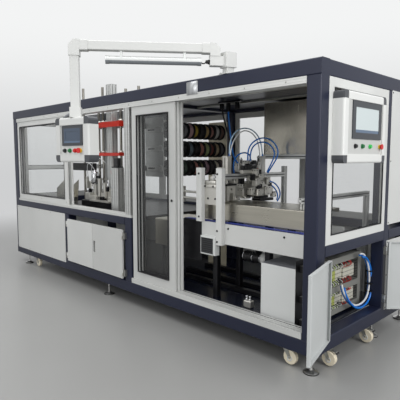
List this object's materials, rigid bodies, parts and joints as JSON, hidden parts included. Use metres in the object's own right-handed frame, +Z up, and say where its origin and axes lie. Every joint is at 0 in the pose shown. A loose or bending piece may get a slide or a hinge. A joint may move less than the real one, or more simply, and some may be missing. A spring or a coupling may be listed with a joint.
{
  "type": "packaging line machine",
  "caption": "Long box-frame packing machine with glazed sliding doors, wire reel rows, belt conveyor, swinging operator pendant and open electrical cabinet",
  "frame": {"origin": "bottom centre of the overall bounding box, on the floor", "axes": "+Z up, X along the machine's length with +X towards the electrical end, -Y towards the front"},
  "size_m": [4.8493, 2.3668, 2.22],
  "materials": {
    "blue_belt": "matt",
    "light_grey_paint": "satin powder coat",
    "zinc_plate": "zinc plated",
    "cream_wheel": "semi gloss",
    "stainless_steel": "brushed",
    "bright_aluminium": "anodised",
    "navy_paint": "satin powder coat",
    "hard_chrome": "polished",
    "black_plastic": "matt",
    "red_paint": "satin",
    "wound_wire": "matt",
    "clear_glazing": "clear",
    "grey_plastic": "matt"
  },
  "bodies": {
    "frame": {"air_hoses": "blue_belt", "arm_column": "light_grey_paint", "caster_plates": "zinc_plate", "chute_plates": "stainless_steel", "conveyor_belt": "blue_belt", "conveyor_legs": "stainless_steel", "conveyor_plates": "light_grey_paint", "cylinders": "bright_aluminium", "door_hinges": "zinc_plate", "door_rails": "bright_aluminium", "electrics_plate": "light_grey_paint", "floor_tray": "navy_paint", "frame_cross_tubes": "navy_paint", "frame_long_tubes": "navy_paint", "frame_posts": "navy_paint", "gripper_blocks": "bright_aluminium", "guide_rods": "hard_chrome", "hood": "stainless_steel", "levelling_feet": "zinc_plate", "lower_boxes": "light_grey_paint", "mullion_post": "bright_aluminium", "operator_box": "light_grey_paint", "operator_box_controls": "black_plastic", "red_plates": "red_paint", "reel_rack": "stainless_steel", "side_panels": "light_grey_paint", "slotted_beams": "bright_aluminium", "station_base": "black_plastic", "station_column": "bright_aluminium", "terminal_rows": "black_plastic", "trough": "stainless_steel", "window_frames": "light_grey_paint", "window_glass": "clear_glazing", "wire_ducts": "grey_plastic"},
    "cabinet_door_left": {"cabinet_door_left": "light_grey_paint"},
    "cabinet_door_right": {"cabinet_door_right": "light_grey_paint"},
    "end_leaf_left": {"end_leaf_left": "light_grey_paint"},
    "end_leaf_right": {"end_leaf_right": "light_grey_paint"},
    "arm": {"arm_beam": "light_grey_paint", "drop_tube": "light_grey_paint", "lamp_bar": "bright_aluminium"},
    "pendant": {"pendant_box": "light_grey_paint", "pendant_screen": "black_plastic"},
    "reel_row_top": {"reel_row_top": "wound_wire"},
    "reel_row_middle": {"reel_row_middle": "wound_wire"},
    "reel_row_bottom": {"reel_row_bottom": "wound_wire"},
    "sliding_door_1": {"sliding_door_1": "light_grey_paint", "sliding_door_1_glass": "clear_glazing"},
    "sliding_door_2": {"sliding_door_2": "light_grey_paint", "sliding_door_2_glass": "clear_glazing"},
    "sliding_door_3": {"sliding_door_3": "light_grey_paint", "sliding_door_3_glass": "clear_glazing"},
    "caster_1_fork": {"caster_1_fork": "zinc_plate"},
    "caster_1_wheel": {"caster_1_wheel": "cream_wheel"},
    "caster_2_fork": {"caster_2_fork": "zinc_plate"},
    "caster_2_wheel": {"caster_2_wheel": "cream_wheel"},
    "caster_3_fork": {"caster_3_fork": "zinc_plate"},
    "caster_3_wheel": {"caster_3_wheel": "cream_wheel"},
    "caster_4_fork": {"caster_4_fork": "zinc_plate"},
    "caster_4_wheel": {"caster_4_wheel": "cream_wheel"}
  },
  "joints": [
    {"name": "cabinet_left_hinge", "type": "hinge", "parent": "frame", "child": "cabinet_door_left", "pos_m": [-1.00447, -0.34359, 0.47], "axis": [0, 0, 1], "range_deg": [-110, 0]},
    {"name": "cabinet_right_hinge", "type": "hinge", "parent": "frame", "child": "cabinet_door_right", "pos_m": [0.06053, -0.34359, 0.47], "axis": [0, 0, 1], "range_deg": [0, 110]},
    {"name": "end_left_hinge", "type": "hinge", "parent": "frame", "child": "end_leaf_left", "pos_m": [2.12253, -0.21359, 0.485], "axis": [0, 0, 1], "range_deg": [0, 165]},
    {"name": "end_right_hinge", "type": "hinge", "parent": "frame", "child": "end_leaf_right", "pos_m": [2.12253, 0.63541, 0.485], "axis": [0, 0, 1], "range_deg": [-135, 0]},
    {"name": "arm_swing", "type": "hinge", "parent": "frame", "child": "arm", "pos_m": [1.31053, -0.26359, 2.147], "axis": [0, 0, 1], "range_deg": [-25, 91]},
    {"name": "pendant_swivel", "type": "hinge", "parent": "arm", "child": "pendant", "pos_m": [0.64808, -1.11149, 1.655], "axis": [0, 0, 1], "range_deg": [-90, 90]},
    {"name": "reel_bottom_spin", "type": "hinge", "parent": "frame", "child": "reel_row_bottom", "pos_m": [0.34553, 0.33341, 1.278], "axis": [0, 1, 0], "continuous": true},
    {"name": "reel_middle_spin", "type": "hinge", "parent": "frame", "child": "reel_row_middle", "pos_m": [0.34553, 0.33341, 1.457], "axis": [0, 1, 0], "continuous": true},
    {"name": "reel_top_spin", "type": "hinge", "parent": "frame", "child": "reel_row_top", "pos_m": [0.34553, 0.33341, 1.63], "axis": [0, 1, 0], "continuous": true},
    {"name": "sliding_door_1_slide", "type": "slide", "parent": "frame", "child": "sliding_door_1", "axis": [1, 0, 0], "range_m": [0, 1.2013]},
    {"name": "sliding_door_2_slide", "type": "slide", "parent": "frame", "child": "sliding_door_2", "axis": [1, 0, 0], "range_m": [0, 1.2013]},
    {"name": "sliding_door_3_slide", "type": "slide", "parent": "frame", "child": "sliding_door_3", "axis": [1, 0, 0], "range_m": [0, 1.2013]},
    {"name": "caster_1_swivel", "type": "hinge", "parent": "frame", "child": "caster_1_fork", "pos_m": [1.85553, -0.26659, 0.11], "axis": [0, 0, 1], "continuous": true},
    {"name": "caster_1_roll", "type": "hinge", "parent": "caster_1_fork", "child": "caster_1_wheel", "pos_m": [1.89053, -0.26659, 0.058], "axis": [0, 1, 0], "continuous": true},
    {"name": "caster_2_swivel", "type": "hinge", "parent": "frame", "child": "caster_2_fork", "pos_m": [2.04553, -0.10159, 0.11], "axis": [0, 0, 1], "continuous": true},
    {"name": "caster_2_roll", "type": "hinge", "parent": "caster_2_fork", "child": "caster_2_wheel", "pos_m": [2.08053, -0.10159, 0.058], "axis": [0, 1, 0], "continuous": true},
    {"name": "caster_3_swivel", "type": "hinge", "parent": "frame", "child": "caster_3_fork", "pos_m": [2.04553, 0.43341, 0.11], "axis": [0, 0, 1], "continuous": true},
    {"name": "caster_3_roll", "type": "hinge", "parent": "caster_3_fork", "child": "caster_3_wheel", "pos_m": [2.08053, 0.43341, 0.058], "axis": [0, 1, 0], "continuous": true},
    {"name": "caster_4_swivel", "type": "hinge", "parent": "frame", "child": "caster_4_fork", "pos_m": [-1.92447, -0.26659, 0.11], "axis": [0, 0, 1], "continuous": true},
    {"name": "caster_4_roll", "type": "hinge", "parent": "caster_4_fork", "child": "caster_4_wheel", "pos_m": [-1.88947, -0.26659, 0.058], "axis": [0, 1, 0], "continuous": true}
  ]
}
